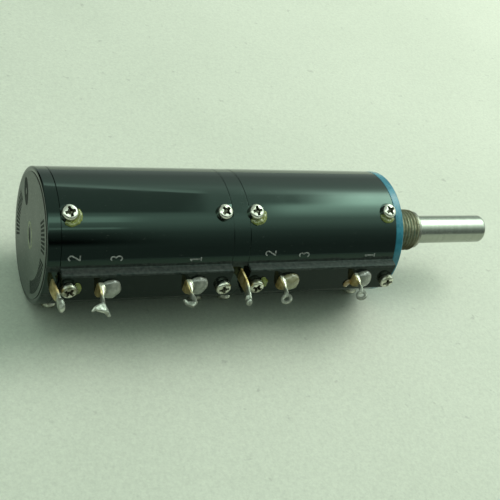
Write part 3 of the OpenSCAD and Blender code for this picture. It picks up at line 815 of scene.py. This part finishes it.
def screw_mesh():
    """One pan-head screw with a cross recess, standing on local Z = 0."""
    top, wall, crown_r, rim_r, steps = HEAD_HEIGHT - 0.02, 0.62, 0.62, HEAD_R - 0.02, 10
    profile = [(-1.2, 0), (-1.2, 0.8), (0, 0.8), (0, HEAD_R - 0.08), (0.06, rim_r)]
    for i in range(steps + 1):
        a = radians(90 * i / steps)
        profile.append((wall + (top - wall) * sin(a) ** 0.9,
                        crown_r + (rim_r - crown_r) * cos(a) ** 0.62))
    profile += [(top + 0.015, 0.3), (top + 0.015, 0)]
    head = turned("screw", profile, 72, axis="z", angle=50)
    for turn in (0, 90):
        carve(head, recess_arm(turn), 32)
    low = top - 0.85
    cone = [(low - 0.1, 0), (low, 0.2), (top + 0.1, crown_r), (top + 0.1, 0)]
    carve(head, turned("cone", cone, 24, axis="z"), 32)
    soften = head.modifiers.new("soften", "BEVEL")
    soften.width = 0.03 * MM
    soften.segments = 2
    soften.limit_method = "ANGLE"
    soften.angle_limit = radians(38)
    bake(head)
    finish_mesh(head.data, 38)
    head.data.materials.append(SCREW)
    head.data.materials.append(RECESS_SHADE)
    # Faces inside the cross recess take the darker second material, painted shade in the recess.
    for face in head.data.polygons:
        x, y, z = face.center / MM
        in_arm = min(abs(x), abs(y)) < 0.33 and max(abs(x), abs(y)) < 1.02
        in_cone = hypot(x, y) < 0.6
        face.material_index = int((in_arm or in_cone) and 0.3 < z < top - 0.06)
    return head


def recess_arm(turn):
    """A tapered bar that cuts one arm of the cross recess."""
    top, low = HEAD_HEIGHT + 0.1, HEAD_HEIGHT - 0.8
    points = []
    for z, half, width in ((low, 0.6, 0.2), (top, 1.04, 0.3)):
        for sx, sy in ((-1, -1), (1, -1), (1, 1), (-1, 1)):
            points.append((sx * half, sy * width, z))
    faces = [(3, 2, 1, 0), (4, 5, 6, 7), (0, 1, 5, 4), (1, 2, 6, 5), (2, 3, 7, 6), (3, 0, 4, 7)]
    return solid("arm", points, faces, Matrix.Rotation(radians(turn), 4, "Z"))


def pad_screw(x, offset):
    """Where the pad's screw of the row at x stands."""
    forward, sideways = offset
    return placed(x + forward, 0, PAD_HEIGHT, sideways)


def screw_rows():
    """Four rows of screws: one on the pad and three round the body in each."""
    master = screw_mesh()
    rows = (("front_lid", LID_ROW, LID_PAD, (20, 28, 70, 10)),
            ("front_coupling", FRONT_ROW, FRONT_PAD, (75, 8, 35, 55)),
            ("rear_coupling", REAR_ROW, REAR_PAD, (15, 42, 80, 30)),
            ("rear_lid", END_ROW, END_PAD, (60, 15, 50, 5)))
    for row, x, offset, spins in rows:
        places = [pad_screw(x, offset), *(placed(x, e, SEAT_R) for e in RING_SCREWS)]
        for k, (where, spin) in enumerate(zip(places, spins)):
            mesh = master.data.copy()
            where.translation = where.translation * MM
            mesh.transform(where @ Matrix.Rotation(radians(spin), 4, "Z"))
            # The pad screw is aged; the screw at 300 degrees, under the body, takes the same darker
            # material as painted shade.
            if k in (0, 3):
                mesh.materials[0] = SCREW_AGED_AND_SHADED
            piece(added(f"{row}_screw_{k + 1}", mesh), None, [f"{row}_screws"])
    bpy.data.objects.remove(master)


def lacquer_dab(name, where, start, end, reach, seed):
    """A run of lacquer round part of a screw head, from one angle to another."""
    balls = []
    count = 9
    for i in range(count):
        share = i / (count - 1)
        a = radians(start + (end - start) * share)
        swell = 0.45 + 0.55 * sin(pi * (0.15 + 0.7 * share))
        r = HEAD_R + reach * 0.35 * swell
        size = reach * 0.62 * swell
        balls.append((r * cos(a), r * sin(a), 0.06, size, size, 0.34 * swell))
    obj = blob(name, balls, where, 0.09, 0.12, 1.6, seed)
    piece(obj, LACQUER, ["screw_lacquer"])


def lacquer_pieces():
    """Lacquer at three of the screws at 60 degrees and at two on the pad."""
    seat = BODY_R - SEAT_DEPTH / 2
    places = ((placed(END_ROW, 60, seat), -105, 10, 1.1, 3.1),
              (placed(FRONT_ROW, 60, seat), -115, -5, 1.2, 7.7),
              (placed(LID_ROW, 60, seat), -150, -60, 1.0, 1.9),
              (pad_screw(END_ROW, END_PAD), -60, 30, 1.0, 5.3),
              (pad_screw(FRONT_ROW, FRONT_PAD), -30, 50, 1.1, 9.2))
    for k, place in enumerate(places):
        lacquer_dab(f"lacquer_{k + 1}", *place)


# ---- terminals

def rounded_bar(t, w, r):
    """Corner points of a t by w bar with rounded edges, about its centre."""
    points = []
    for cx, cy, start in ((t / 2 - r, w / 2 - r, 0), (r - t / 2, w / 2 - r, 90),
                          (r - t / 2, r - w / 2, 180), (t / 2 - r, r - w / 2, 270)):
        points += arc(cx, cy, r, start, start + 90, 3)
    return points


def smooth_path(points, steps=7):
    """A smooth run through points, each an (x, y, z) on the lug."""
    guides = [points[0], *points, points[-1]]
    path = []
    for i in range(len(points) - 1):
        a, b, c, d = (Vector(q) for q in guides[i:i + 4])
        for k in range(steps):
            t = k / steps
            path.append(0.5 * (2 * b + (c - a) * t + (2 * a - 5 * b + 4 * c - d) * t * t
                               + (3 * b - a - 3 * c + d) * t ** 3))
    return path + [Vector(points[-1])]


def facing(twist):
    """The way a lug's flat side faces once it is twisted by that many degrees."""
    turn = radians(twist)
    return Vector((-cos(turn), -sin(turn), 0))


def strip(name, path, width, twist, where, closed=False):
    """A flat bar along a path; width and twist are functions of the height above the axis."""
    points = []
    count = len(path)
    for i, spot in enumerate(path):
        after = path[(i + 1) % count] if closed or i + 1 < count else spot
        before = path[i - 1] if closed or i else spot
        along = (after - before).normalized()
        out = facing(twist(spot.z))
        across = along.cross(out).normalized()
        out = across.cross(along)
        for u, v in rounded_bar(LUG_T, width(spot.z), LUG_EDGE):
            points.append(spot + out * u + across * v)
    faces = grid_faces(count, len(points) // count, closed, not closed)
    return solid(name, points, faces, where, 40)


def lug_width(h):
    """The width of a pad's lug, which narrows to its neck."""
    return LUG_WIDTH + (NECK_WIDTH - LUG_WIDTH) * ease(14.4, 16.5, h)


def lug_twist(h):
    """The twist of a pad's lug, all of it in the neck."""
    return EYELET_TWIST * ease(16.3, 17.7, h)


def eyelet(where):
    """The pierced ring at the end of a lug."""
    out = facing(EYELET_TWIST)
    across = Vector((0, 0, 1)).cross(out)
    path = []
    for i in range(40):
        a = TAU * i / 40
        rim = across * cos(a) + Vector((0, 0, sin(a)))
        path.append(Vector((0, 0, EYELET_REACH)) + EYELET_R * rim)
    return strip("eyelet", path, lambda h: EYELET_RIM, lambda h: EYELET_TWIST, where, True)


def pad_lug(name, x, node, end, ring=True):
    """A lug on the pad: a strip that narrows to a neck, then a ring or a bent hook."""
    where = placed(x)
    path = smooth_path([(0, 0, PAD_ROOT), (0, 0, 12.5), (0, 0, 14), *end])
    parts = [strip("lug", path, lug_width, lug_twist, where)]
    if ring:
        parts.append(eyelet(where))
    obj = joined(name, parts)
    finish_mesh(obj.data, 40)
    piece(obj, GOLD, [node])


def ring_lug(name, x, shift, node, end):
    """A lug of a pick-up, straight out of a ring and slightly bent at its end."""
    path = smooth_path([(0, 0, RING_ROOT), (0, 0, 10), (0, 0, 12.6), *end])
    width = lambda h: LUG_WIDTH + (PICK_UP_WIDTH - LUG_WIDTH) * ease(14.5, 17.5, h)
    obj = strip(name, path, width, lambda h: 0, placed(x, 0, 0, shift))
    piece(obj, GOLD, [node])


def lug_pieces():
    """The six lugs: four on the pads, and two out of the pick-ups' rings."""
    neck = [(0.25, 0.25, 15.4), (0.42, 0.5, 16.3), (0.38, 0.35, 17.2), (0.2, 0.2, 17.85)]
    pad_lug("front_lug_1", FRONT_1, "front_terminal_1", neck)
    pad_lug("front_lug_3", FRONT_3, "front_terminal_3", neck)
    neck = [(0.25, 0.15, 15.4), (0.4, 0.25, 16.3), (0.5, 0.25, 17.5), (0.45, 0.35, 18.9)]
    pad_lug("rear_lug_1", REAR_1, "rear_terminal_1", neck, False)
    neck = [(0.2, 0.4, 15.4), (0.2, 0.55, 16.6), (0.1, 0.5, 17.4), (0.0, 0.55, 18.3)]
    pad_lug("rear_lug_3", REAR_3, "rear_terminal_3", neck, False)
    bend = [(0.1, -0.1, 14.5), (0.2, -0.35, 16.5), (0.0, -0.8, 18.6)]
    ring_lug("front_lug_2", FRONT_2, PICK_UP_SHIFT, "front_terminal_2", bend)
    bend = [(0.1, 0.25, 14.5), (0.35, 0.5, 16.5), (0.6, 0.5, 18.6)]
    ring_lug("rear_lug_2", REAR_2, 0, "rear_terminal_2", bend)


def solder_lump(name, balls, where, seed, material=SOLDER):
    """A lump of solder on a lug."""
    obj = blob(name, balls, where, 0.07, 0.09, 1.7, seed)
    piece(obj, material, ["terminal_solder"])


def beads(points, radii):
    """Balls strung closely along a smooth path, their size running through the radii."""
    flat = 0.8
    path = smooth_path(points, 5)
    balls = []
    for i, spot in enumerate(path):
        place = i / (len(path) - 1) * (len(radii) - 1)
        k = min(int(place), len(radii) - 2)
        r = radii[k] + (radii[k + 1] - radii[k]) * (place - k)
        balls.append((*spot, r, r * flat, r))
    return balls


def solder_pieces():
    """Solder left on the used terminals."""
    peak = (0.0, 0.55, 18.1)
    neck = beads([(0.3, 0.5, 16.4), (0.2, 0.5, 17.3), peak], (0.22, 0.26, 0.36))
    left = beads([peak, (-0.6, 0.35, 18.4), (-1.3, 0.1, 18.6), (-1.85, -0.3, 18.9)],
                 (0.36, 0.5, 0.42, 0.24))
    right = beads([peak, (0.25, 0.1, 18.6), (0.65, -0.45, 19.1), (1.1, -1.1, 19.35)],
                  (0.36, 0.52, 0.44, 0.36))
    web = beads([(-1.2, 0.05, 18.75), (-0.6, 0.05, 18.85), (0.0, -0.05, 18.95), (0.5, -0.35, 19.1)],
                (0.36, 0.55, 0.6, 0.5))
    skirt = beads([(-1.3, 0.0, 18.85), (-0.6, -0.1, 19.05), (0.1, -0.3, 19.15), (0.7, -0.7, 19.2)],
                  (0.26, 0.35, 0.38, 0.38))
    solder_lump("solder_rear_3", neck + left + right + web + skirt, placed(REAR_3), 2.0)
    hook = beads([(0.45, 0.35, 18.3), (0.35, 0.3, 18.9), (-0.2, 0.3, 19.22), (-0.9, 0.45, 19.18),
                  (-1.4, 0.65, 18.95), (-1.75, 0.9, 18.55)], (0.24, 0.36, 0.42, 0.44, 0.42, 0.3))
    fill = beads([(0.1, 0.3, 18.75), (-0.45, 0.4, 18.9), (-1.0, 0.55, 18.85)], (0.3, 0.42, 0.36))
    solder_lump("solder_rear_1", hook + fill, placed(REAR_1), 4.0, DULL_SOLDER)
    lump = [(0.35, 0.6, 16.9, 0.42, 0.85, 0.7), (0.5, 0.5, 17.7, 0.62, 1.1, 1.1)]
    lump += [(0.6, 0.35, 18.2, 0.6, 1.05, 0.95)]
    solder_lump("solder_rear_2", lump, placed(REAR_2), 6.0)
    drop = [(-0.1, -0.75, 18.0, 0.7, 0.8, 0.8), (-0.15, -1.0, 18.8, 0.6, 0.75, 0.75)]
    drop += [(0.1, -0.4, 17.4, 0.4, 0.4, 0.5)]
    solder_lump("solder_front_2", drop, placed(FRONT_2, 0, 0, PICK_UP_SHIFT), 8.0)


def dome(name, x, material, node, seed):
    """A drop of cast resin on the pad, slightly lopsided."""
    turn = noise.noise(Vector((seed + 0.5, 0, 0)))
    balls = [(0, -0.1, 0, 2.05, 2.1, 1.5), (-0.6, -0.2 + turn, 0.1, 1.5, 1.6, 1.45)]
    balls += [(0.8, 0.2 - turn, 0.1, 1.15, 1.4, 1.15)]
    obj = blob(name, balls, placed(x, 0, PAD_HEIGHT), 0.12, 0.16, 0.8, seed)
    piece(obj, material, [node])


def fillet(name, x, node, seed):
    """Resin drawn up the lug from the dome, like the foot of a meniscus."""
    columns, rows = 28, 18
    points = []
    for i in range(rows + 1):
        share = i / rows
        h = 13.85 + 2.6 * share
        reach = 0.14 + 2.3 * (1 - share) ** 1.25
        half = 0.4 + 0.95 * (1 - share) ** 0.7
        mid = 0.1 + 0.35 * share
        for j in range(columns):
            a = TAU * j / columns
            bulge = max(0.0, cos(a)) ** 0.8
            back = 0.12 * max(0.0, -cos(a)) ** 0.5
            px = 0.08 + 0.36 * ease(14.2, 16.2, h) + reach * bulge - back
            py = mid + half * sin(a)
            wave = 0.1 * noise.noise(Vector((px * 1.5, py * 1.5, h + seed)))
            points.append((px + wave * bulge, py, h))
    obj = solid(name, points, grid_faces(rows + 1, columns, capped=True), placed(x), 50)
    piece(obj, PALE_RESIN, [node])


def resin_pieces():
    """A dome and a fillet at each terminal 1 and 3, and an amber blob beside front lug 1, a painted
    reflection of the lug in the glossy pad.
    """
    forward = LUG_T / 2 + 2.2
    places = (("front", 1, FRONT_1, RESIN), ("front", 3, FRONT_3, YELLOW_RESIN),
              ("rear", 1, REAR_1, RESIN), ("rear", 3, REAR_3, RESIN))
    for k, (section, number, x, material) in enumerate(places):
        node = f"{section}_terminal_resin"
        dome(f"{section}_resin_{number}", x + forward, material, node, 3.0 * k)
        fillet(f"{section}_resin_fillet_{number}", x, node, 5.0 * k)
    # Painted reflection: an amber blob on the pad where the lug shows in the glossy pad face.
    run = [(0, -1.1, 0, 0.7, 0.8, 0.55), (-0.25, -1.55, 0.05, 0.6, 0.7, 0.5)]
    reflection_blob = blob("front_lug_reflection", run, placed(FRONT_1 - 0.6, 0, PAD_HEIGHT), 0.1, 0.12)
    piece(reflection_blob, AMBER_REFLECTION, ["front_terminal_resin"])


# ---- inner parts

def inner_parts():
    """Procedural materials for the CAD nodes that stay as they are."""
    looks = {"middle_bearing": BRONZE, "rear_bearing": BRONZE, "thrust_washer": BRONZE}
    both = {"resistance_coil": WIRE, "rotor": CREAM, "wiper_carriage": CREAM, "pick_up_brush": BRASS,
            "slip_ring": BRASS, "collector_rail": BRASS, "wiper_contact": BRASS}
    for part, material in both.items():
        looks[f"front_{part}"] = looks[f"rear_{part}"] = material
    for node, material in looks.items():
        data = frame["nodes"][node].data
        data.materials.clear()
        data.materials.append(material)


# ---- floor, light and camera

def floor():
    """A plain pale sheet under the part."""
    look = Look("pale_floor", (0.60, 0.70, 0.55), 0.75)
    cloud = look.noise(14, 6)
    grain = look.noise(1100, 3, 0.7)
    tone = look.ramp(cloud, [(0.3, (0.65, 0.725, 0.60)), (0.7, (0.71, 0.785, 0.655))])
    specks = look.ramp(grain, [(0.28, 0.91), (0.62, 1.0)])
    grit = look.ramp(look.noise(2600, 2), [(0.3, 0.94), (0.7, 1.04)])
    marks = look.ramp(look.noise(420, 2), [(0.24, 0.84), (0.30, 1.0)])
    tone = look.blend(1.0, look.blend(1.0, tone, specks, "MULTIPLY"), grit, "MULTIPLY")
    look.color(look.blend(1.0, tone, marks, "MULTIPLY"))
    look.bump(grain, 0.25, 0.0001)
    size = 900.0
    low = -BODY_R
    points = [(-size, -size, low), (size, -size, low), (size, size, low), (-size, size, low)]
    sheet = solid("pale_floor", points, [(0, 1, 2, 3)])
    sheet.data.materials.append(look.material)


class Sky(Nodes):
    """The world's node tree, with short ways to shape its light."""

    def __init__(self):
        made = bpy.data.worlds.new("studio")
        bpy.context.scene.world = made
        made.use_nodes = True
        super().__init__(made.node_tree)
        self.background = self.tree.nodes["Background"]

    def step(self, value, low, high):
        """0 at low, 1 at high, smooth between."""
        made = self.node("MapRange", interpolation_type="SMOOTHSTEP")
        self.link(value, made.inputs["Value"])
        made.inputs["From Min"].default_value = low
        made.inputs["From Max"].default_value = high
        return made.outputs["Result"]

    def curve(self, value, stops, size):
        """A value that runs through (position, level) stops; the ramp holds a quarter of each level."""
        share = self.math("DIVIDE", value, float(size))
        quarter = self.ramp(share, [(position / size, level / 4) for position, level in stops])
        return self.math("MULTIPLY", quarter, 4.0)

    def patch(self, level, gain, *edges):
        """Adds gain within edges, each given as a value, where it is outside and where inside."""
        inside = self.step(*edges[0])
        for edge in edges[1:]:
            inside = self.math("MULTIPLY", inside, self.step(*edge))
        return self.math("MULTIPLY_ADD", inside, gain, level)


def world():
    """A pale room for gloss to reflect, and plain soft light for all else.

    lean is the angle of a direction towards +X, and rise its angle round the shaft,
    from 0 at +Y through 90 overhead to 180 at -Y.
    """
    sky = Sky()
    x, y, z = sky.axes(sky.node("TexCoord").outputs["Generated"])
    degree = 180 / pi
    lean = sky.math("MULTIPLY", sky.math("ARCSINE", x), degree)
    rise = sky.math("MULTIPLY", sky.math("ARCTAN2", z, y), degree)
    rise = sky.math("MAXIMUM", rise, 0.0)
    stops = ((0, 0.6), (20, 0.62), (32, 0.85), (42, 1.1), (50, 1.5), (60, 1.35), (100, 1.3),
             (110, 1.75), (120, 1.45), (128, 1.0), (136, 0.6), (148, 0.36), (162, 0.25), (180, 0.25))
    level = sky.curve(rise, stops, 180)
    level = sky.patch(level, -0.35, (lean, 23.0, 15.0), (rise, 122.0, 137.0), (rise, 160.0, 150.0))
    # A dark ceiling panel with a bright edge
    slant = sky.math("MULTIPLY_ADD", lean, -1.7, rise)
    side = (lean, 23.8, 22.8)
    level = sky.patch(level, -0.7, side, (slant, 23.6, 25.4), (rise, 104.0, 99.0))
    level = sky.patch(level, 0.9, side, (slant, 25.4, 23.6), (slant, 15.0, 23.0))
    # Pale strips below the panel
    level = sky.patch(level, 1.5, (lean, 20.5, 17.5), (rise, 105.0, 111.0), (rise, 119.0, 116.0))
    level = sky.patch(level, 1.3, (lean, 19.0, 18.0), (rise, 125.5, 126.5), (rise, 129.5, 128.5))
    # The window: a bright core and two paler arms
    wide = (lean, 52.0, 40.0)
    level = sky.patch(level, 7.5, (lean, 28.5, 33.0), wide, (rise, 55.0, 71.0), (rise, 96.0, 80.0))
    level = sky.patch(level, 1.6, (lean, 24.0, 31.0), wide, (rise, 48.0, 60.0), (rise, 68.0, 62.0))
    level = sky.patch(level, 3.1, (lean, 26.0, 28.5), wide, (rise, 80.0, 93.0), (rise, 114.0, 96.0))
    glossy = sky.node("LightPath").outputs["Is Glossy Ray"]
    plain = sky.math("MULTIPLY_ADD", sky.step(rise, 165.0, 95.0), 0.5, 0.1)
    plain = sky.math("MULTIPLY", plain, sky.math("SUBTRACT", 1.0, glossy))
    sky.background.inputs["Color"].default_value = (0.82, 1.0, 0.88, 1)
    sky.link(sky.math("MULTIPLY_ADD", level, glossy, plain), sky.background.inputs["Strength"])


def key_light():
    """A soft square lamp above the shaft's end; gloss doesn't show it."""
    place, side = Vector((380, 140, 420)) * MM, 420 * MM
    data = bpy.data.lights.new("soft_key", "AREA")
    data.shape = "RECTANGLE"
    data.size = data.size_y = side
    data.energy = 2.9
    data.color = (1.0, 0.95, 0.92)
    lamp = added("soft_key", data)
    lamp.location = place
    lamp.rotation_euler = (-place).to_track_quat("-Z", "Y").to_euler()
    lamp.visible_glossy = False


def camera():
    """The photograph's viewpoint: where it stands, which way it looks and how far it rolls."""
    place = Vector((-114.173, -127.643, 119.865)) * MM
    azimuth, elevation, roll = (radians(a) for a in (55.6117, -38.9307, 21.9144))
    data = bpy.data.cameras.new("camera")
    data.lens = 70.03
    data.sensor_width = 36
    flat = cos(elevation)
    forward = Vector((flat * cos(azimuth), flat * sin(azimuth), sin(elevation)))
    level = Vector((sin(azimuth), -cos(azimuth), 0))
    right = level * cos(roll) + level.cross(forward) * sin(roll)
    up = right.cross(forward)
    obj = added("camera", data)
    turn = Matrix((right, up, -forward)).transposed().to_4x4()
    obj.matrix_world = Matrix.Translation(place) @ turn
    bpy.context.scene.camera = obj


body_pieces()
ring_piece()
front_lid_piece()
rear_lid_piece()
label_pieces()
digit_pieces()
bushing_piece()
shaft_piece()
spring_ring("retaining_clip", "shaft_retaining_clip", 4.0, 2.66, 3.25)
spring_ring("rear_clip", "rear_shaft_circlip", 3.75, 1.66, 2.2)
screw_rows()
lacquer_pieces()
lug_pieces()
solder_pieces()
resin_pieces()
inner_parts()
floor()
world()
key_light()
camera()
bpy.context.scene.view_settings.view_transform = "Standard"
